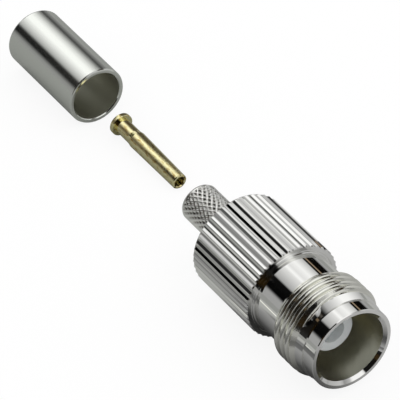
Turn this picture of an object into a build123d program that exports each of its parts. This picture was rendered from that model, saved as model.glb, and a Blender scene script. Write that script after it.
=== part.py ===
from build123d import *
from math import acos, atan2, cos, degrees, hypot, pi, radians, sin, sqrt
import os

# A crimp-on threaded coaxial jack, laid out as its three loose parts: the body, the
# centre contact and the crimp ferrule, in line and lying on a flat surface. Millimetres.
# The row frame has +X towards the mouth of the jack, +Z up, and its origin on the
# surface below the middle of the set.

os.makedirs("parts", exist_ok=True)

# Front shell: distances are measured back from the mouth plane
lip_diameter = 9.70
lip_length = 1.75
lip_edge = 0.08
land_front_diameter = 9.94
land_rear_diameter = 10.20
land_length = 1.10
thread_diameter = 11.05
thread_lead_in = 0.50
thread_length = 2.65
thread_run_out = 1.00
neck_diameter = 9.60
neck_length = 3.78
spigot_diameter = 9.20
spigot_length = 2.80
mouth_bore = 8.15
mouth_chamfer = 0.34
mouth_depth = 8.50
stop_lip_bore = 6.00
stop_lip_length = 0.50
insulator_seat_bore = 6.84

# Grip body
grip_diameter = 11.33
grip_length = 10.25
grip_chamfer = 0.14
flute_count = 45
flute_depth = 0.16
flute_land = 0.06
flute_floor = 0.16
flute_turn = 1.45
stem_diameter = 4.47
stem_length = 7.45
stem_chamfer = 0.22
stem_bore = 3.05
stem_bore_chamfer = 0.15
joint_chamfer = 0.15

# Insulator
face_recess = 3.25
boss_diameter = 4.72
boss_edge = 0.10
counterbore_diameter = 2.60
counterbore_depth = 1.50
tail_diameter = 5.20
tail_length = 1.60

# Centre contact: distances are measured forward from the front of its flange
flange_diameter = 2.67
flange_length = 0.55
flange_edge = 0.06
contact_neck_diameter = 1.84
contact_neck_length = 2.40
shoulder_length = 0.60
shaft_diameter = 2.04
tip_diameter = 1.80
tip_round = 0.13
contact_length = 11.40
socket_bore = 1.20
socket_depth = 5.60
socket_lead_in = 0.08
slot_width = 0.15
slot_length = 5.00
slot_roll = 34.0
wire_bore = 0.96
wire_depth = 3.00

# Crimp ferrule
ferrule_outer_diameter = 6.92
ferrule_wall = 0.525
ferrule_length = 13.25
ferrule_edge = 0.16
ferrule_lead_in = 0.10

# Clearances
press_gap = 0.02
axial_gap = 0.02
shaft_gap = 0.04
snap_gap = 0.03
snap_play = 0.10

# Places of the loose pieces
stem_to_tip = 8.90
contact_to_ferrule = 3.10
contact_offset = 3.12
contact_yaw = 0.9
ferrule_offset = 2.11

# Stations along the body, measured back from the mouth plane
land_start = lip_length
thread_start = land_start + land_length
crest_start = thread_start + thread_lead_in
crest_end = crest_start + thread_length
neck_start = crest_end + thread_run_out
grip_front = neck_start + neck_length
spigot_end = grip_front + spigot_length
seat_start = mouth_depth + stop_lip_length
insulator_end = spigot_end + tail_length
grip_rear = grip_front + grip_length
body_length = grip_rear + stem_length

grip_radius = grip_diameter / 2
stem_radius = stem_diameter / 2


def turned(stations):
    """A solid of revolution about X, from (distance back from the mouth, radius) pairs."""
    points = [(-distance, radius) for distance, radius in stations]
    return revolve(make_face(Polyline(*points, close=True)), axis=Axis.X)


def front_shell():
    """Lip, thread blank, neck and press spigot, bored from both ends around a stop lip."""
    lip = lip_diameter / 2
    thread = thread_diameter / 2
    neck = neck_diameter / 2
    spigot = spigot_diameter / 2
    mouth = mouth_bore / 2
    seat = insulator_seat_bore / 2
    return turned([
        (0, mouth + mouth_chamfer),
        (0, lip - lip_edge),
        (lip_edge, lip),
        (land_start, lip),
        (land_start, land_front_diameter / 2),
        (thread_start, land_rear_diameter / 2),
        (crest_start, thread),
        (crest_end, thread),
        (neck_start, neck),
        (grip_front, neck),
        (grip_front, spigot),
        (spigot_end, spigot),
        (spigot_end, seat),
        (seat_start, seat),
        (seat_start, stop_lip_bore / 2),
        (mouth_depth, stop_lip_bore / 2),
        (mouth_depth, mouth),
        (mouth_chamfer, mouth),
    ])


def fluted_section():
    """The toothed outline of the grip in the YZ plane. One land lies flute_turn past the lowest point."""
    pitch = 2 * pi / flute_count
    land_half = flute_land / 2 / grip_radius
    floor_radius = grip_radius - flute_depth
    floor_half = flute_floor / 2 / floor_radius
    points = []
    for tooth in range(flute_count):
        middle = radians(flute_turn) - pi / 2 + tooth * pitch
        corners = [
            (middle - land_half, grip_radius),
            (middle + land_half, grip_radius),
            (middle + pitch / 2 - floor_half, floor_radius),
            (middle + pitch / 2 + floor_half, floor_radius),
        ]
        points += [(radius * cos(angle), radius * sin(angle)) for angle, radius in corners]
    return make_face(Plane.YZ * Polyline(*points, close=True))


def end_bevel(station, direction):
    """The ring that bevels the flute lands at one end; direction is 1 at the front."""
    past = grip_chamfer + flute_depth
    tip = grip_radius - grip_chamfer - past
    return turned([
        (station - direction * past, tip),
        (station - direction * past, grip_radius + past),
        (station + direction * (grip_chamfer + past), grip_radius + past),
    ])


def grip_body():
    """Fluted grip and crimp stem in one piece, bored for the shell, insulator and cable."""
    spigot_seat = spigot_diameter / 2 + press_gap
    tail_seat = tail_diameter / 2 + press_gap
    cable = stem_bore / 2
    grip = Pos(-grip_rear, 0, 0) * extrude(fluted_section(), amount=grip_length, dir=(1, 0, 0))
    grip -= end_bevel(grip_front, 1)
    grip -= end_bevel(grip_rear, -1)
    stem = turned([
        (grip_rear - flute_depth, 0),
        (grip_rear - flute_depth, stem_radius),
        (body_length - stem_chamfer, stem_radius),
        (body_length, stem_radius - stem_chamfer / 2),
        (body_length, 0),
    ])
    bores = turned([
        (grip_front - joint_chamfer, 0),
        (grip_front - joint_chamfer, spigot_seat + 2 * joint_chamfer),
        (grip_front + joint_chamfer, spigot_seat),
        (spigot_end + axial_gap, spigot_seat),
        (spigot_end + axial_gap, tail_seat),
        (insulator_end + axial_gap, tail_seat),
        (insulator_end + axial_gap, cable),
        (body_length - stem_bore_chamfer, cable),
        (body_length + stem_bore_chamfer, cable + 2 * stem_bore_chamfer),
        (body_length + stem_bore_chamfer, 0),
    ])
    return grip + stem - bores


def insulator():
    """Boss in the mouth, collar through the stop lip, flange in the shell, tail in the grip."""
    boss = boss_diameter / 2
    collar = stop_lip_bore / 2 - press_gap
    flange = insulator_seat_bore / 2 - press_gap
    tail = tail_diameter / 2
    contact = shaft_diameter / 2 + shaft_gap
    snap = contact_neck_diameter / 2 + snap_gap
    snap_start = insulator_end - contact_neck_length + snap_play
    return turned([
        (face_recess, counterbore_diameter / 2),
        (face_recess, boss - boss_edge),
        (face_recess + boss_edge, boss),
        (mouth_depth, boss),
        (mouth_depth, collar),
        (seat_start, collar),
        (seat_start, flange),
        (spigot_end, flange),
        (spigot_end, tail),
        (insulator_end, tail),
        (insulator_end, snap),
        (snap_start, snap),
        (snap_start - shoulder_length, contact),
        (face_recess + counterbore_depth, contact),
        (face_recess + counterbore_depth, counterbore_diameter / 2),
    ])


def centre_contact():
    """Gold socket along +X from its flange front: wire bore behind, slotted socket ahead."""
    flange = flange_diameter / 2
    neck = contact_neck_diameter / 2
    wire = wire_bore / 2
    socket = socket_bore / 2
    tip = tip_diameter / 2
    outline = Polyline(
        (wire_depth - flange_length, 0),
        (wire_depth - flange_length, wire),
        (-flange_length, wire),
        (-flange_length, flange - flange_edge),
        (flange_edge - flange_length, flange),
        (-flange_edge, flange),
        (0, flange - flange_edge),
        (0, neck),
        (contact_neck_length, neck),
        (contact_neck_length + shoulder_length, shaft_diameter / 2),
        (contact_length - tip_round, tip),
    )
    nose = TangentArc(
        (contact_length - tip_round, tip),
        (contact_length, tip - tip_round),
        tangent=(1, 0),
    )
    mouth = Polyline(
        (contact_length, tip - tip_round),
        (contact_length, socket + socket_lead_in),
        (contact_length - socket_lead_in, socket),
        (contact_length - socket_depth, socket),
        (contact_length - socket_depth, 0),
        (wire_depth - flange_length, 0),
    )
    contact = revolve(make_face([outline, nose, mouth]), axis=Axis.X)
    slot = Box(slot_length, flange_diameter, slot_width, align=(Align.MAX, Align.CENTER, Align.CENTER))
    return contact - Rot(slot_roll, 0, 0) * Pos(contact_length, 0, 0) * slot


def crimp_ferrule():
    """Plain tube, its outer edges eased by two bevels each and its bore led in at both ends."""
    outer = ferrule_outer_diameter / 2
    inner = outer - ferrule_wall
    soft = ferrule_edge * (1 - sqrt(0.5))
    return turned([
        (0, inner + ferrule_lead_in),
        (0, outer - ferrule_edge),
        (soft, outer - soft),
        (ferrule_edge, outer),
        (ferrule_length - ferrule_edge, outer),
        (ferrule_length - soft, outer - soft),
        (ferrule_length, outer - ferrule_edge),
        (ferrule_length, inner + ferrule_lead_in),
        (ferrule_length - ferrule_lead_in, inner),
        (ferrule_lead_in, inner),
    ])


def contact_pitch():
    """The nose-down angle at which the flange rim and the rounded tip both touch the surface."""
    drop = flange_diameter / 2 - tip_diameter / 2 + tip_round
    reach = contact_length - tip_round + flange_edge
    return acos(tip_round / hypot(drop, reach)) - atan2(reach, drop)


# Places of the three parts along the set
contact_total = contact_length + flange_length
set_length = body_length + stem_to_tip + contact_total + contact_to_ferrule + ferrule_length
mouth_x = set_length / 2
tip_x = mouth_x - body_length - stem_to_tip
ferrule_x = tip_x - contact_total - contact_to_ferrule

pitch = contact_pitch()
contact_z = flange_diameter / 2 * cos(pitch) - flange_edge * sin(pitch)
body_place = Pos(mouth_x, 0, grip_radius)
contact_place = Pos(tip_x - contact_length, contact_offset, contact_z) * Rot(0, degrees(pitch), contact_yaw)
ferrule_place = Pos(ferrule_x, ferrule_offset, ferrule_outer_diameter / 2)

nodes = {
    "front_shell": body_place * front_shell(),
    "grip_body": body_place * grip_body(),
    "insulator": body_place * insulator(),
    "centre_contact": contact_place * centre_contact(),
    "crimp_ferrule": ferrule_place * crimp_ferrule(),
}
for name, solid in nodes.items():
    export_step(solid, f"parts/{name}.step")
    box = solid.bounding_box()
    print(name, "x %.3f..%.3f y %.3f..%.3f z %.3f..%.3f" % (
        box.min.X, box.max.X, box.min.Y, box.max.Y, box.min.Z, box.max.Z))
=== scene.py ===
import bpy
import bmesh
import math
from mathutils import Matrix, Vector


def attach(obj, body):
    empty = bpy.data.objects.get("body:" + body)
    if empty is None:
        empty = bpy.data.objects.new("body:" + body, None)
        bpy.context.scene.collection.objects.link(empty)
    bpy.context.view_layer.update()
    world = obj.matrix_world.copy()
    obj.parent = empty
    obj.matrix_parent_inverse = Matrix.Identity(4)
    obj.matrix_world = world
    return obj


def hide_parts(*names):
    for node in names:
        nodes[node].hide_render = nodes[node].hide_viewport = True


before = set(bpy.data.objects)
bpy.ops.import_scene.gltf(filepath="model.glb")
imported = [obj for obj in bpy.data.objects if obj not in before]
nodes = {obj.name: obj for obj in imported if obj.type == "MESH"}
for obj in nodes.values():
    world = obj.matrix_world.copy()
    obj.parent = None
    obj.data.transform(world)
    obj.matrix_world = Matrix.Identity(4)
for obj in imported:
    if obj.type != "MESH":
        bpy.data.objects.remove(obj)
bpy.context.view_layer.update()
mm = 0.001

# The jack's axis in the row frame. Sizes are in millimetres, and distances run back from the mouth plane
jack = {"mouthX": 32.84, "axisHeight": 5.665}

reliefInputs = (
    "mouthX", "axisHeight",
    "threadRadius", "threadPitch", "threadDepth", "threadCrest", "threadRoot", "threadCurve",
    "gripRadius", "fluteCount", "fluteTurn", "fluteDepth", "fluteLand", "fluteFloor",
    "knurlStarts", "knurlTwist", "knurlDepth", "knurlRidge",
)
reliefMasks = ("threadMask", "fluteMask", "knurlMask")
plain = (0, 0, 0)
threaded = (1, 0, 0)
fluted = (0, 1, 0)
knurled = (0, 0, 1)
outOfReach = 0.1  # metres, far outside every piece
grainDepth = 0.01 * mm


def calc(tree, operation, *values):
    # One Math node. Values are sockets or numbers
    node = tree.nodes.new("ShaderNodeMath")
    node.operation = operation
    for index, value in enumerate(values):
        if isinstance(value, (int, float)):
            node.inputs[index].default_value = value
        else:
            tree.links.new(value, node.inputs[index])
    return node.outputs[0]


def clampedShare(tree, value, start, stop):
    # How far value has gone from start to stop, kept between 0 and 1
    node = tree.nodes.new("ShaderNodeMapRange")
    tree.links.new(value, node.inputs["Value"])
    for name, edge in (("From Min", start), ("From Max", stop)):
        if isinstance(edge, (int, float)):
            node.inputs[name].default_value = edge
        else:
            tree.links.new(edge, node.inputs[name])
    return node.outputs["Result"]


def between(tree, value, start, full, fade, stop):
    # 1 from full to fade, falling to 0 at start and stop
    return calc(tree, "MULTIPLY", clampedShare(tree, value, start, full),
                clampedShare(tree, value, stop, fade))


def triangleWave(tree, phase):
    # 0 where the phase is a whole number, 1 halfway between
    offset = calc(tree, "SUBTRACT", phase, calc(tree, "ROUND", phase))
    return calc(tree, "MULTIPLY", calc(tree, "ABSOLUTE", offset), 2)


def fromAxis(tree, side, height):
    # Distance from an axis along X, from the offsets beside it and above it
    return calc(tree, "SQRT", calc(tree, "ADD", calc(tree, "MULTIPLY", side, side),
                                   calc(tree, "MULTIPLY", height, height)))


def maskedLimit(tree, radius, drop, mask):
    # The radius less the drop where the mask is 1, and out of reach where it is 0
    lift = calc(tree, "MULTIPLY", calc(tree, "SUBTRACT", 1, mask), outOfReach)
    return calc(tree, "ADD", calc(tree, "SUBTRACT", radius, drop), lift)


def turnedReliefTree():
    # Cuts a helical thread, straight flutes and a crossed knurl into a turned piece
    tree = bpy.data.node_groups.new("turnedRelief", "GeometryNodeTree")
    tree.interface.new_socket("Geometry", in_out="INPUT", socket_type="NodeSocketGeometry")
    for name in reliefInputs:
        tree.interface.new_socket(name, in_out="INPUT", socket_type="NodeSocketFloat")
    tree.interface.new_socket("material", in_out="INPUT", socket_type="NodeSocketMaterial")
    tree.interface.new_socket("Geometry", in_out="OUTPUT", socket_type="NodeSocketGeometry")
    given = tree.nodes.new("NodeGroupInput").outputs
    masks = {}
    for name in reliefMasks:
        read = tree.nodes.new("GeometryNodeInputNamedAttribute")
        read.data_type = "FLOAT"
        read.inputs["Name"].default_value = name
        masks[name] = read.outputs["Attribute"]
    position = tree.nodes.new("GeometryNodeInputPosition")
    place = tree.nodes.new("ShaderNodeSeparateXYZ")
    tree.links.new(position.outputs[0], place.inputs[0])
    distance = calc(tree, "SUBTRACT", given["mouthX"], place.outputs["X"])
    side = place.outputs["Y"]
    height = calc(tree, "SUBTRACT", place.outputs["Z"], given["axisHeight"])
    radius = fromAxis(tree, side, height)
    turn = calc(tree, "DIVIDE", calc(tree, "ARCTAN2", height, side), 2 * math.pi)  # whole turns from +Y

    # Thread: a crest that rounds down into a narrow root, one start, right-handed
    wave = triangleWave(tree, calc(tree, "ADD", calc(tree, "DIVIDE", distance, given["threadPitch"]), turn))
    rootEdge = calc(tree, "SUBTRACT", 1, given["threadRoot"])
    share = clampedShare(tree, wave, given["threadCrest"], rootEdge)
    drop = calc(tree, "MULTIPLY", calc(tree, "POWER", share, given["threadCurve"]), given["threadDepth"])
    threadLimit = maskedLimit(tree, given["threadRadius"], drop, masks["threadMask"])

    # Flutes: one land lies fluteTurn past the lowest point, which is a quarter turn before +Y
    pastLowest = calc(tree, "ADD", turn, 0.25)
    fromLand = calc(tree, "SUBTRACT", pastLowest, given["fluteTurn"])
    wave = triangleWave(tree, calc(tree, "MULTIPLY", fromLand, given["fluteCount"]))
    floorEdge = calc(tree, "SUBTRACT", 1, given["fluteFloor"])
    share = clampedShare(tree, wave, given["fluteLand"], floorEdge)
    drop = calc(tree, "MULTIPLY", share, given["fluteDepth"])
    fluteLimit = maskedLimit(tree, given["gripRadius"], drop, masks["fluteMask"])

    # Knurl: two crossed sets of ridges with pits between
    around = calc(tree, "MULTIPLY", turn, given["knurlStarts"])
    along = calc(tree, "MULTIPLY", distance, given["knurlTwist"])
    wave = calc(tree, "MINIMUM", triangleWave(tree, calc(tree, "ADD", around, along)),
                triangleWave(tree, calc(tree, "SUBTRACT", around, along)))
    pit = calc(tree, "MULTIPLY", clampedShare(tree, wave, given["knurlRidge"], 1.0), given["knurlDepth"])
    knurlLimit = calc(tree, "SUBTRACT", radius, calc(tree, "MULTIPLY", pit, masks["knurlMask"]))

    cut = calc(tree, "MINIMUM", calc(tree, "MINIMUM", threadLimit, fluteLimit), knurlLimit)
    share = calc(tree, "DIVIDE", cut, calc(tree, "MAXIMUM", radius, 1e-6))
    moved = tree.nodes.new("ShaderNodeCombineXYZ")
    tree.links.new(place.outputs["X"], moved.inputs["X"])
    tree.links.new(calc(tree, "MULTIPLY", side, share), moved.inputs["Y"])
    tree.links.new(calc(tree, "ADD", calc(tree, "MULTIPLY", height, share), given["axisHeight"]),
                   moved.inputs["Z"])
    setPlace = tree.nodes.new("GeometryNodeSetPosition")
    tree.links.new(given["Geometry"], setPlace.inputs["Geometry"])
    tree.links.new(moved.outputs[0], setPlace.inputs["Position"])
    realize = tree.nodes.new("GeometryNodeRealizeInstances")
    tree.links.new(setPlace.outputs[0], realize.inputs[0])
    finish = tree.nodes.new("GeometryNodeSetMaterial")
    tree.links.new(realize.outputs[0], finish.inputs["Geometry"])
    tree.links.new(given["material"], finish.inputs["Material"])
    tree.links.new(finish.outputs[0], tree.nodes.new("NodeGroupOutput").inputs[0])
    return tree


def marked(masks, *pairs):
    # Outline points that share their relief masks, from (distance, radius) pairs
    return [(distance, radius, *masks) for distance, radius in pairs]


def stretch(first, last, step):
    # Points from first up to, and without, last, about step apart along the axis
    count = max(1, round(abs(last[0] - first[0]) / step))
    return [tuple(a + (b - a) * i / count for a, b in zip(first, last)) for i in range(count)]


def turnedMesh(name, outline, turns):
    # A closed turned blank. The outline is a loop of marked points, and turns lists where its columns
    # stand, in degrees past the lowest point
    mesh = bpy.data.meshes.new(name)
    rows = len(outline)
    columns = len(turns)
    places = []
    for distance, radius, *masks in outline:
        for turn in turns:
            angle = math.radians(turn - 90)
            places.append(((jack["mouthX"] - distance) * mm, radius * math.cos(angle) * mm,
                           (radius * math.sin(angle) + jack["axisHeight"]) * mm))
    faces = []
    for row in range(rows):
        after = (row + 1) % rows
        for column in range(columns):
            beside = (column + 1) % columns
            faces.append((row * columns + column, row * columns + beside,
                          after * columns + beside, after * columns + column))
    mesh.from_pydata(places, [], faces)
    for index, maskName in enumerate(reliefMasks):
        layer = mesh.attributes.new(maskName, "FLOAT", "POINT")
        layer.data.foreach_set("value", [point[2 + index] for point in outline for column in range(columns)])
    edit = bmesh.new()
    edit.from_mesh(mesh)
    bmesh.ops.recalc_face_normals(edit, faces=edit.faces)
    edit.to_mesh(mesh)
    edit.free()
    piece = bpy.data.objects.new(name, mesh)
    bpy.context.scene.collection.objects.link(piece)
    return piece


def carve(piece, tree, material, values, sharpAngle):
    # Runs the relief tree on a blank and leaves a plain mesh at the origin
    modifier = piece.modifiers.new("relief", "NODES")
    modifier.node_group = tree
    keys = {item.name: item.identifier for item in tree.interface.items_tree if item.in_out == "INPUT"}
    modifier[keys["mouthX"]] = jack["mouthX"] * mm
    modifier[keys["axisHeight"]] = jack["axisHeight"] * mm
    for name, value in values.items():
        modifier[keys[name]] = value
    modifier[keys["material"]] = material
    blank = piece.data
    bpy.context.view_layer.update()
    evaluated = piece.evaluated_get(bpy.context.evaluated_depsgraph_get())
    piece.data = bpy.data.meshes.new_from_object(evaluated)
    piece.modifiers.clear()
    bpy.data.meshes.remove(blank)
    for face in piece.data.polygons:
        face.use_smooth = True
    piece.data.set_sharp_from_angle(angle=math.radians(sharpAngle))
    return piece


def finishZones(piece, zones):
    # Gives faces their own finish where belongs(distance, radius, outward, along) says so
    for material, belongs in zones:
        piece.data.materials.append(material)
        number = len(piece.data.materials) - 1
        for face in piece.data.polygons:
            side = face.center.y
            height = face.center.z - jack["axisHeight"] * mm
            distance = jack["mouthX"] - face.center.x / mm
            radius = math.hypot(side, height) / mm
            outward = face.normal.y * side + face.normal.z * height > 0
            if belongs(distance, radius, outward, abs(face.normal.x)):
                face.material_index = number


# Materials
def newMaterial(name):
    material = bpy.data.materials.new(name)
    material.use_nodes = True
    tree = material.node_tree
    return material, tree, tree.nodes["Principled BSDF"]


def objectPlace(tree):
    # X, Y and Z sockets of the Object coordinates
    coords = tree.nodes.new("ShaderNodeTexCoord")
    place = tree.nodes.new("ShaderNodeSeparateXYZ")
    tree.links.new(coords.outputs["Object"], place.inputs[0])
    return place.outputs


def noise(tree, scale, detail=4.0, stretchX=1.0):
    # Noise on Object coordinates. The scale is in cells per metre
    coords = tree.nodes.new("ShaderNodeTexCoord")
    mapping = tree.nodes.new("ShaderNodeMapping")
    mapping.inputs["Scale"].default_value = (stretchX, 1, 1)
    tree.links.new(coords.outputs["Object"], mapping.inputs["Vector"])
    texture = tree.nodes.new("ShaderNodeTexNoise")
    texture.inputs["Scale"].default_value = scale
    texture.inputs["Detail"].default_value = detail
    tree.links.new(mapping.outputs[0], texture.inputs["Vector"])
    return texture.outputs["Fac"]


def ramp(tree, value, stops):
    node = tree.nodes.new("ShaderNodeValToRGB")
    tree.links.new(value, node.inputs[0])
    elements = node.color_ramp.elements
    while len(elements) < len(stops):
        elements.new(0.5)
    for element, (position, colour) in zip(elements, stops):
        element.position = position
        element.color = (*colour, 1)
    return node.outputs[0]


def bump(tree, shader, height, strength):
    node = tree.nodes.new("ShaderNodeBump")
    node.inputs["Strength"].default_value = strength
    node.inputs["Distance"].default_value = grainDepth
    tree.links.new(height, node.inputs["Height"])
    tree.links.new(node.outputs[0], shader.inputs["Normal"])


def mixColour(tree, factor, first, second):
    node = tree.nodes.new("ShaderNodeMix")
    node.data_type = "RGBA"
    tree.links.new(factor, node.inputs["Factor"])
    for socket, colour in ((node.inputs["A"], first), (node.inputs["B"], second)):
        if isinstance(colour, tuple):
            socket.default_value = (*colour, 1)
        else:
            tree.links.new(colour, socket)
    return node.outputs["Result"]


def radiusAbout(tree, axisSide, axisHeight):
    # Distance from an axis along X, on Object coordinates
    place = objectPlace(tree)
    return fromAxis(tree, calc(tree, "SUBTRACT", place["Y"], axisSide * mm),
                    calc(tree, "SUBTRACT", place["Z"], axisHeight * mm))


def metal(name, colour, roughness, grain=0.0, grainScale=9000):
    material, tree, shader = newMaterial(name)
    shader.inputs["Base Color"].default_value = (*colour, 1)
    shader.inputs["Metallic"].default_value = 1
    shader.inputs["Roughness"].default_value = roughness
    if grain:
        bump(tree, shader, noise(tree, grainScale), grain)
    return material


def mottledGold(finish):
    # Gold plate that has worn brown in small patches, drawn out along the piece
    material, tree, shader = newMaterial("gold")
    patches = noise(tree, finish["patchScale"], finish["patchDetail"], finish["patchStretch"])
    stops = [(finish["cleanUpTo"], finish["clearOfWearAndShade"]), (finish["wornFrom"], finish["worn"])]
    tree.links.new(ramp(tree, patches, stops), shader.inputs["Base Color"])
    shader.inputs["Metallic"].default_value = 1
    shader.inputs["Roughness"].default_value = finish["roughness"]
    bump(tree, shader, noise(tree, finish["grainScale"]), finish["grain"])
    return material


def tubeNickel(sizes):
    # Satin plate outside, and a dull dark bore inside a radius about the tube's own axis
    material, tree, shader = newMaterial("ferruleNickel")
    radius = radiusAbout(tree, sizes["side"], sizes["height"])
    inside = calc(tree, "LESS_THAN", radius, sizes["bore"] * mm)
    colour = mixColour(tree, inside, sizes["outerColour"], sizes["boreColour"])
    tree.links.new(colour, shader.inputs["Base Color"])
    duller = calc(tree, "MULTIPLY", inside, sizes["boreRoughness"])
    tree.links.new(calc(tree, "ADD", sizes["roughness"], duller), shader.inputs["Roughness"])
    shader.inputs["Metallic"].default_value = 1
    bump(tree, shader, noise(tree, sizes["grainScale"]), sizes["grain"])
    return material


def flutedNickel(sizes):
    # Bright plate with painted shade at the bottom of the flutes, darker inside the flute floor radius
    material, tree, shader = newMaterial("gripNickel")
    radius = radiusAbout(tree, 0.0, jack["axisHeight"])
    clearOfWearAndShade = clampedShare(tree, radius, sizes["floor"] * mm, sizes["clearOfWearAndShade"] * mm)
    colour = mixColour(tree, clearOfWearAndShade, sizes["paintedShadeColour"], sizes["brightColour"])
    tree.links.new(colour, shader.inputs["Base Color"])
    shader.inputs["Metallic"].default_value = 1
    shader.inputs["Roughness"].default_value = sizes["roughness"]
    return material


def whitePtfe(finish):
    # Lets a little light in below its surface
    material, tree, shader = newMaterial("ptfe")
    shader.inputs["Base Color"].default_value = (*finish["colour"], 1)
    shader.inputs["Roughness"].default_value = finish["roughness"]
    shader.inputs["Subsurface Weight"].default_value = finish["glow"]
    shader.inputs["Subsurface Scale"].default_value = finish["glowDepth"] * mm
    shader.inputs["Subsurface Radius"].default_value = (1.0, 1.0, 1.0)
    return material


polishedNickel = metal("polishedNickel", (0.93, 0.93, 0.905), roughness=0.03)
threadNickel = metal("threadNickel", (0.93, 0.93, 0.86), roughness=0.08, grain=0.6, grainScale=7000)
faceNickel = metal("faceNickel", (0.93, 0.93, 0.905), roughness=0.06)
stemNickel = metal("stemNickel", (0.88, 0.88, 0.85), roughness=0.14)
boreNickel = metal("boreNickel", (0.76, 0.74, 0.61), roughness=0.32, grain=0.8)
gold = mottledGold({
    "clearOfWearAndShade": (0.96, 0.90, 0.52), "worn": (0.62, 0.45, 0.15), "cleanUpTo": 0.50, "wornFrom": 0.66,
    "patchScale": 4200, "patchDetail": 5.0, "patchStretch": 0.35, "roughness": 0.08,
    "grain": 0.3, "grainScale": 5000,
})
ptfe = whitePtfe({"colour": (0.80, 0.83, 0.84), "roughness": 0.45, "glow": 0.3, "glowDepth": 0.5})
ferruleNickel = tubeNickel({
    "side": 2.11, "height": 3.46, "bore": 2.955, "outerColour": (0.91, 0.93, 0.88),
    "boreColour": (0.62, 0.62, 0.54), "roughness": 0.12, "boreRoughness": 0.30,
    "grain": 0.15, "grainScale": 9000,
})
# Painted shade: the darker colour fills the flute floors, where shade falls
gripNickel = flutedNickel({
    "floor": 5.520, "clearOfWearAndShade": 5.550, "paintedShadeColour": (0.62, 0.62, 0.60), "brightColour": (0.94, 0.94, 0.92),
    "roughness": 0.03,
})
reliefTree = turnedReliefTree()
print("materials", len(bpy.data.materials))

# Front shell: thread and mirror-polished lip and neck
shellSizes = {
    "lip": 4.85, "lipEdge": 0.08, "lipEnd": 1.75,
    "landFront": 4.97, "landRear": 5.10, "landBreak": 2.70, "landBreakShare": 0.86,
    "threadStart": 2.85, "crestStart": 3.35, "crestEnd": 6.00, "threadEnd": 7.00, "threadRadius": 5.525,
    "pitch": 0.907, "threadDepth": 0.50, "threadCrest": 0.10, "threadRoot": 0.03, "threadCurve": 1.8,
    "neck": 4.80, "gripFront": 10.78, "coveLength": 0.08, "cove": 0.07,
    "spigot": 4.60, "spigotEnd": 13.58, "seat": 3.42, "seatStart": 9.00,
    "stopLip": 3.00, "mouthDepth": 8.50, "mouth": 4.075, "mouthChamfer": 0.34,
    "threadFinishFrom": 2.80, "boreFinishWithin": 4.20,
    "step": 0.0227, "columns": 320, "sharpAngle": 32,
}
size = shellSizes
step = size["step"] * 1
columns = size["columns"] // 1
landBreakRadius = size["landFront"] + (size["landRear"] - size["landFront"]) * size["landBreakShare"]
outline = marked(plain, (0, size["mouth"] + size["mouthChamfer"]), (0, size["lip"] - size["lipEdge"]),
                 (size["lipEdge"], size["lip"]), (size["lipEnd"], size["lip"]),
                 (size["lipEnd"], size["landFront"]), (size["landBreak"], landBreakRadius))
threadLine = marked(threaded, (size["threadStart"], size["landRear"]),
                    (size["crestStart"], size["threadRadius"]),
                    (size["crestEnd"], size["threadRadius"]), (size["threadEnd"], size["neck"]))
for first, last in zip(threadLine, threadLine[1:]):
    outline += stretch(first, last, step)
outline += marked(plain, (size["threadEnd"], size["neck"]),
                  (size["gripFront"] - size["coveLength"], size["neck"]),
                  (size["gripFront"], size["neck"] + size["cove"]), (size["gripFront"], size["spigot"]),
                  (size["spigotEnd"], size["spigot"]), (size["spigotEnd"], size["seat"]),
                  (size["seatStart"], size["seat"]), (size["seatStart"], size["stopLip"]),
                  (size["mouthDepth"], size["stopLip"]), (size["mouthDepth"], size["mouth"]),
                  (size["mouthChamfer"], size["mouth"]))
shell = turnedMesh("frontShellVisual", outline, [360 * column / columns for column in range(columns)])
carve(shell, reliefTree, polishedNickel, {
    "threadRadius": size["threadRadius"] * mm, "threadPitch": size["pitch"] * mm,
    "threadDepth": size["threadDepth"] * mm, "threadCrest": size["threadCrest"],
    "threadRoot": size["threadRoot"], "threadCurve": size["threadCurve"],
}, size["sharpAngle"])
finishZones(shell, [
    (threadNickel, lambda distance, radius, outward, along:
        shellSizes["threadFinishFrom"] < distance < shellSizes["threadEnd"] and outward),
    (boreNickel, lambda distance, radius, outward, along:
        radius < shellSizes["boreFinishWithin"] and not outward),
])
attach(shell, "root")
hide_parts("front_shell")
print("front shell", len(shell.data.polygons))

# Grip body: straight flutes and crossed knurl, with a turned line on its front face
gripSizes = {
    "front": 10.78, "rear": 21.03, "radius": 5.665, "bevel": 0.14, "crisp": 0.04,
    "faceLine": 5.02, "lineDepth": 0.05,
    "flutes": 45, "fluteDepth": 0.16, "firstLand": 1.45, "landShare": 0.076, "floorShare": 0.208,
    "landColumns": 1, "flankColumns": 6, "floorColumns": 3,
    "stem": 2.235, "stemEnd": 28.48, "stemChamfer": 0.22, "bore": 1.525, "boreChamfer": 0.15,
    "knurlStart": 21.06, "knurlStop": 28.10, "knurlStarts": 23, "knurlLead": 0.92,
    "knurlDepth": 0.14, "knurlRidge": 0.22,
    "spigotSeat": 4.62, "seatEnd": 13.60, "tail": 2.62, "tailEnd": 15.20,
    "faceFinishTo": 10.95, "faceTilt": 0.5, "stemFinishFrom": 21.04, "boreFinishWithin": 4.70,
    "step": 0.065, "sharpAngle": 25,
}
size = gripSizes
step = size["step"] * 1
groove = size["lineDepth"]
bevelFront = size["front"] + size["bevel"]
bevelRear = size["rear"] - size["bevel"]
outline = marked(plain, (size["front"], size["spigotSeat"]), (size["front"], size["faceLine"]),
                 (size["front"] + groove, size["faceLine"] + groove),
                 (size["front"], size["faceLine"] + 2 * groove))
outline += marked(fluted, (size["front"], size["radius"] - size["bevel"]), (bevelFront, size["radius"]),
                  (bevelFront + size["crisp"], size["radius"]), (bevelRear - size["crisp"], size["radius"]),
                  (bevelRear, size["radius"]), (size["rear"], size["radius"] - size["bevel"]))
outline += marked(plain, (size["rear"], size["stem"]))
knurlLine = marked(knurled, (size["knurlStart"], size["stem"]), (size["knurlStop"], size["stem"]))
outline += stretch(*knurlLine, step)
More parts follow.
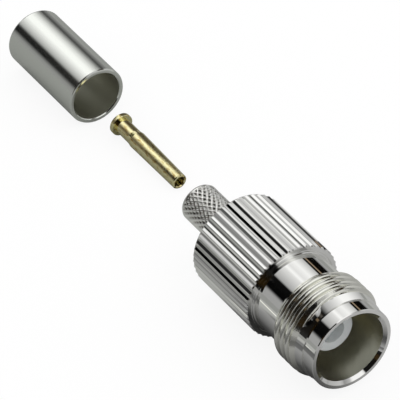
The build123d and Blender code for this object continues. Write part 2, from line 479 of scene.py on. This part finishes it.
outline += marked(plain, (size["knurlStop"], size["stem"]),
                  (size["stemEnd"] - size["stemChamfer"], size["stem"]),
                  (size["stemEnd"], size["stem"] - size["stemChamfer"] / 2),
                  (size["stemEnd"], size["bore"] + size["boreChamfer"]),
                  (size["stemEnd"] - size["boreChamfer"], size["bore"]),
                  (size["tailEnd"], size["bore"]), (size["tailEnd"], size["tail"]),
                  (size["seatEnd"], size["tail"]), (size["seatEnd"], size["spigotSeat"]))

# Columns stand on the edges of every land and flute floor, so the flanks stay flat
pitchAngle = 360 / size["flutes"]
landHalf = size["landShare"] * pitchAngle / 2
floorHalf = size["floorShare"] * pitchAngle / 2
facets = [
    (-landHalf, landHalf, size["landColumns"]),
    (landHalf, pitchAngle / 2 - floorHalf, size["flankColumns"]),
    (pitchAngle / 2 - floorHalf, pitchAngle / 2 + floorHalf, size["floorColumns"]),
    (pitchAngle / 2 + floorHalf, pitchAngle - landHalf, size["flankColumns"]),
]
turns = []
for flute in range(size["flutes"]):
    landMiddle = size["firstLand"] + flute * pitchAngle
    for first, last, count in facets:
        count = count
        turns += [landMiddle + first + (last - first) * part / count for part in range(count)]
grip = turnedMesh("gripBodyVisual", outline, turns)
carve(grip, reliefTree, gripNickel, {
    "gripRadius": size["radius"] * mm, "fluteCount": float(size["flutes"]),
    "fluteTurn": size["firstLand"] / 360, "fluteDepth": size["fluteDepth"] * mm,
    "fluteLand": size["landShare"], "fluteFloor": size["floorShare"],
    "knurlStarts": float(size["knurlStarts"]), "knurlTwist": 1 / (size["knurlLead"] * mm),
    "knurlDepth": size["knurlDepth"] * mm, "knurlRidge": size["knurlRidge"],
}, size["sharpAngle"])
finishZones(grip, [
    (faceNickel, lambda distance, radius, outward, along:
        distance < gripSizes["faceFinishTo"] and along > gripSizes["faceTilt"]),
    (stemNickel, lambda distance, radius, outward, along:
        distance > gripSizes["stemFinishFrom"] and outward),
    (boreNickel, lambda distance, radius, outward, along:
        radius < gripSizes["boreFinishWithin"] and not outward and along < gripSizes["faceTilt"]),
])
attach(grip, "root")
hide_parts("grip_body")
print("grip body", len(grip.data.polygons))

# The other three pieces are the solids themselves
for name, material in (("insulator", ptfe), ("centre_contact", gold), ("crimp_ferrule", ferruleNickel)):
    nodes[name].data.materials.clear()
    nodes[name].data.materials.append(material)

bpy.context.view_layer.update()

# Floor: white to the eye with a faint shadow. In what the metal reflects it is grey, darker where the loose
# pieces lie, with darker painted shadow bands near the jack and a painted stripe of light beside the grip
floorSizes = {
    "reach": 2000, "bandReach": 45, "bandsFrom": 12.5, "bandsFull": 16, "paleFrom": -5, "paleFull": 0,
    "paintedLightAcross": (-27.5, -26.5, -24.0, -23.0), "paintedLightAlong": (2, 4, 14, 15),
}
floorTones = {
    "far": (0.30, 0.305, 0.295), "pale": (0.44, 0.445, 0.43), "paintedLightStripe": (0.9, 0.9, 0.84),
    "white": (1.0, 1.0, 1.0), "roughness": 0.9, "shadow": 0.12,
}
# Painted shadow: the darkest greys, from 5.3 mm to 2.2 mm on the minus-Y side of the axis, stand in for the
# jack's shadow in what the metal reflects
floorPaintedShadowBands = [  # place across the jack, and the grey there
    (-40, 0.35), (-33, 0.21), (-24, 0.21), (-23, 0.115), (-15.3, 0.155), (-14.2, 0.32), (-12, 0.32),
    (-9.2, 0.265), (-7.2, 0.21), (-5.3, 0.115), (-2.2, 0.08), (-0.5, 0.25), (1.5, 0.42), (10, 0.46),
    (38, 0.38),
]
floorMesh = bpy.data.meshes.new("floor")
reach = floorSizes["reach"] * mm
floorMesh.from_pydata([(-reach, -reach, 0), (reach, -reach, 0), (reach, reach, 0), (-reach, reach, 0)],
                      [], [(0, 1, 2, 3)])
floor = bpy.data.objects.new("floor", floorMesh)
bpy.context.scene.collection.objects.link(floor)
floorMaterial, tree, shader = newMaterial("floor")
place = objectPlace(tree)
bandReach = floorSizes["bandReach"]
across = clampedShare(tree, place["Y"], -bandReach * mm, bandReach * mm)
paintedShadowGreys = ramp(tree, across, [(0.5 + side / bandReach / 2, (grey, grey, grey)) for side, grey in floorPaintedShadowBands])
pale = clampedShare(tree, place["X"], floorSizes["paleFrom"] * mm, floorSizes["paleFull"] * mm)
paintedShadowReach = clampedShare(tree, place["X"], floorSizes["bandsFrom"] * mm, floorSizes["bandsFull"] * mm)
ground = mixColour(tree, paintedShadowReach, mixColour(tree, pale, floorTones["far"], floorTones["pale"]), paintedShadowGreys)
# Painted light: a bright stripe on the floor beside the grip, which the grip reflects as a highlight
paintedLightAcross = between(tree, place["Y"], *[edge * mm for edge in floorSizes["paintedLightAcross"]])
paintedLightAlong = between(tree, place["X"], *[edge * mm for edge in floorSizes["paintedLightAlong"]])
paintedLightStripe = calc(tree, "MULTIPLY", paintedLightAcross, paintedLightAlong)
tree.links.new(mixColour(tree, paintedLightStripe, ground, floorTones["paintedLightStripe"]), shader.inputs["Base Color"])
shader.inputs["Roughness"].default_value = floorTones["roughness"]
shader.inputs["Specular IOR Level"].default_value = 0
seen = tree.nodes.new("ShaderNodeEmission")
seen.inputs["Color"].default_value = (*floorTones["white"], 1)
shaded = tree.nodes.new("ShaderNodeBsdfDiffuse")
shaded.inputs["Color"].default_value = (*floorTones["white"], 1)
faint = tree.nodes.new("ShaderNodeMixShader")
faint.inputs["Fac"].default_value = floorTones["shadow"]
tree.links.new(seen.outputs[0], faint.inputs[1])
tree.links.new(shaded.outputs[0], faint.inputs[2])
light = tree.nodes.new("ShaderNodeLightPath")
choice = tree.nodes.new("ShaderNodeMixShader")
tree.links.new(light.outputs["Is Camera Ray"], choice.inputs["Fac"])
tree.links.new(shader.outputs[0], choice.inputs[1])
tree.links.new(faint.outputs[0], choice.inputs[2])
tree.links.new(choice.outputs[0], tree.nodes["Material Output"].inputs["Surface"])
floorMesh.materials.append(floorMaterial)
print("floor")

# Studio panels run from just below the right-hand horizon, up and over, to the left-hand one
studioAngles = {"low": -5, "high": 180}


def shown(level, warmth):
    # A grey written as the brightness it shows on screen, 0 to 255, turned to light
    value = level / 255
    value = value / 12.92 if value <= 0.04045 else ((value + 0.055) / 1.055) ** 2.4
    return (value * (1 + warmth), value, value * (1 - warmth))


def angleShare(tree, height, side):
    angle = calc(tree, "ARCTAN2", height, side)
    return clampedShare(tree, angle, math.radians(studioAngles["low"]), math.radians(studioAngles["high"]))


def studio(tree, share, stops):
    # Stops of (degrees, brightness, warmth), with straight changes of light between them
    low = studioAngles["low"]
    span = studioAngles["high"] - low
    panels = [((degrees - low) / span, shown(level, warmth)) for degrees, level, warmth in stops]
    return ramp(tree, share, panels)


# Card: a curved screen that only reflections see. The grip and stem, the contact and the ferrule each
# reflect their own stretch of it, and its near edge is bowed so that the neck never sees it
cardSizes = {
    "radius": 100.0, "near": -59.0, "bow": 3.9, "bowTop": 124.0, "far": -140.0,
    "start": -2, "sweep": 182, "segments": 48,
    "gripEnds": -81, "contactStarts": -82, "contactEnds": -104, "ferruleStarts": -106,
}
cardMesh = bpy.data.meshes.new("card")
places = []
for segment in range(cardSizes["segments"] + 1):
    degrees = cardSizes["start"] + cardSizes["sweep"] * segment / cardSizes["segments"]
    turn = math.radians(degrees)
    near = cardSizes["near"] + cardSizes["bow"] * math.cos(math.radians(degrees - cardSizes["bowTop"]) / 2)
    for along in (cardSizes["far"], near):
        places.append((along * mm, cardSizes["radius"] * math.cos(turn) * mm,
                       (jack["axisHeight"] + cardSizes["radius"] * math.sin(turn)) * mm))
strips = [(2 * i, 2 * i + 1, 2 * i + 3, 2 * i + 2) for i in range(cardSizes["segments"])]
cardMesh.from_pydata(places, [], strips)
card = bpy.data.objects.new("card", cardMesh)
bpy.context.scene.collection.objects.link(card)
card.visible_camera = False
card.visible_diffuse = False
card.visible_transmission = False
card.visible_shadow = False
cardMaterial, tree, shader = newMaterial("card")
place = objectPlace(tree)
around = angleShare(tree, calc(tree, "SUBTRACT", place["Z"], jack["axisHeight"] * mm), place["Y"])
overGrip = studio(tree, around, [
    (-3, 215, 0), (8, 230, 0), (18, 190, 0), (24, 235, 0), (26, 60, 0), (36, 50, 0), (38, 235, 0),
    (50, 175, 0), (54, 245, 0), (85, 260, 0), (100, 250, 0), (112, 195, 0), (119, 205, 0), (124, 160, 0),
    (126, 30, 0), (136, 40, 0), (138, 100, 0), (140, 100, 0), (141, 3, 0), (152, 3, 0), (156, 80, 0),
    (161, 90, 0), (165, 135, 0), (180, 140, 0),
])
overContact = studio(tree, around, [
    (-3, 90, 0.1), (47, 75, 0.1), (56, 95, 0.1), (64, 130, 0.1), (86, 270, 0), (102, 270, 0),
    (131, 150, 0.1), (138, 120, 0.1), (153, 90, 0.1), (180, 130, 0.1),
])
overFerrule = studio(tree, around, [
    (-3, 160, 0), (27, 60, 0), (36, 130, 0), (56, 225, 0), (72, 260, 0), (88, 260, 0), (124, 180, 0),
    (129, 150, 0), (134, 60, 0), (139, 20, 0), (154, 20, 0), (168, 140, 0), (180, 150, 0),
])
beyondGrip = clampedShare(tree, place["X"], cardSizes["gripEnds"] * mm, cardSizes["contactStarts"] * mm)
beyondContact = clampedShare(tree, place["X"], cardSizes["contactEnds"] * mm, cardSizes["ferruleStarts"] * mm)
shine = mixColour(tree, beyondContact, mixColour(tree, beyondGrip, overGrip, overContact), overFerrule)
glow = tree.nodes.new("ShaderNodeEmission")
tree.links.new(shine, glow.inputs["Color"])
tree.links.new(glow.outputs[0], tree.nodes["Material Output"].inputs["Surface"])
cardMesh.materials.append(cardMaterial)
print("card")

# World: white for the eye and for soft light, a studio of panels and dark gaps in reflections
world = bpy.data.worlds.new("studio")
bpy.context.scene.world = world
world.use_nodes = True
tree = world.node_tree
tree.nodes.clear()
coords = tree.nodes.new("ShaderNodeTexCoord")
parts = tree.nodes.new("ShaderNodeSeparateXYZ")
tree.links.new(coords.outputs["Generated"], parts.inputs[0])
upward = angleShare(tree, parts.outputs["Z"], parts.outputs["Y"])

# What cylinders see, then faces tipped a little to the mouth and faces tipped more, then flat front
# faces, the edges round them, and what points still nearer the mouth's own axis
# The gold stops in behind and overhead are painted reflections of the gold contact
behind = studio(tree, upward, [
    (-3, 160, 0), (5, 160, 0), (10, 120, 0), (12, 8, 0), (30, 6, 0.4), (32, 130, 0.3), (34, 140, 0.3),
    (35, 12, 0.5), (40, 8, 0), (42, 190, 0), (64, 250, 0), (80, 230, 0), (88, 255, 0), (95, 225, 0),
    (122, 170, 0), (127, 12, 0), (155, 5, 0), (158, 80, 0), (161, 140, 0), (165, 160, 0), (180, 160, 0),
])
overhead = studio(tree, upward, [
    (-3, 165, 0), (40, 250, 0), (57, 255, 0), (97, 175, 0), (108, 70, 0), (111, 9, 0), (114, 30, 0.2),
    (118, 80, 0.1), (123, 30, 0.3), (126, 14, 0.3), (128, 90, 0.4), (132, 90, 0.4), (134, 12, 0.3),
    (165, 25, 0.1), (180, 45, 0),
])
ahead = studio(tree, upward, [
    (0, 175, 0), (35, 200, 0), (40, 35, 0.5), (57, 35, 0.5), (62, 195, 0), (88, 190, 0), (104, 90, 0.1),
    (115, 35, 0.2), (150, 30, 0.2), (165, 90, 0.1), (180, 135, 0),
])
besideFace = studio(tree, upward, [
    (-3, 140, 0), (6, 130, 0), (22, 130, 0), (28, 150, 0), (44, 160, 0), (53, 185, 0), (60, 230, 0),
    (68, 240, 0), (83, 180, 0), (94, 160, 0), (106, 40, 0), (111, 2, 0), (121, 2, 0), (126, 25, 0),
    (140, 16, 0.7), (162, 25, 0.8), (175, 2, 0), (180, 40, 0),
])
besideRim = studio(tree, upward, [
    (0, 180, 0), (60, 250, 0), (94, 250, 0), (100, 225, 0), (104, 20, 0), (150, 16, 0.2), (156, 40, 0.6),
    (166, 40, 0.6), (172, 14, 0), (180, 45, 0),
])
mouthward = studio(tree, upward, [(0, 170, 0), (60, 200, 0), (110, 190, 0), (180, 140, 0)])
changes = [  # where along X, from -1 behind to 1 ahead, each set starts and is full
    (-0.60, -0.56, overhead), (-0.42, -0.32, ahead), (0.50, 0.60, besideFace), (0.66, 0.70, besideRim),
    (0.84, 0.94, mouthward),
]
reflected = behind
for start, full, panels in changes:
    reflected = mixColour(tree, clampedShare(tree, parts.outputs["X"], start, full), reflected, panels)
lightPath = tree.nodes.new("ShaderNodeLightPath")
background = tree.nodes.new("ShaderNodeBackground")
tree.links.new(mixColour(tree, lightPath.outputs["Is Glossy Ray"], (1.0, 1.0, 1.0), reflected),
               background.inputs["Color"])
tree.links.new(background.outputs[0], tree.nodes.new("ShaderNodeOutputWorld").inputs[0])
print("world")

# Camera: its offsets from the mouth's centre are in millimetres, along its own right, up and back
cameraSizes = {"azimuth": 56.98, "elevation": 38.91, "right": -15.41, "up": 15.17, "back": 405.6,
               "lens": 360, "sensor": 36, "clipStart": 0.01, "clipEnd": 10}
cameraData = bpy.data.cameras.new("camera")
camera = bpy.data.objects.new("camera", cameraData)
bpy.context.scene.collection.objects.link(camera)
azimuth = math.radians(cameraSizes["azimuth"])
elevation = math.radians(cameraSizes["elevation"])
right = Vector((math.cos(azimuth), math.sin(azimuth), 0))
back = Vector((math.sin(azimuth) * math.cos(elevation), -math.cos(azimuth) * math.cos(elevation),
               math.sin(elevation)))
up = back.cross(right)
mouthCentre = Vector((jack["mouthX"], 0, jack["axisHeight"]))
place = mouthCentre + cameraSizes["right"] * right + cameraSizes["up"] * up + cameraSizes["back"] * back
camera.matrix_world = Matrix.Translation(place * mm) @ Matrix((right, up, back)).transposed().to_4x4()
cameraData.lens = cameraSizes["lens"]
cameraData.sensor_width = cameraSizes["sensor"]
cameraData.clip_start = cameraSizes["clipStart"]
cameraData.clip_end = cameraSizes["clipEnd"]
scene = bpy.context.scene
scene.camera = camera
scene.view_settings.view_transform = "Standard"

print("stage done")
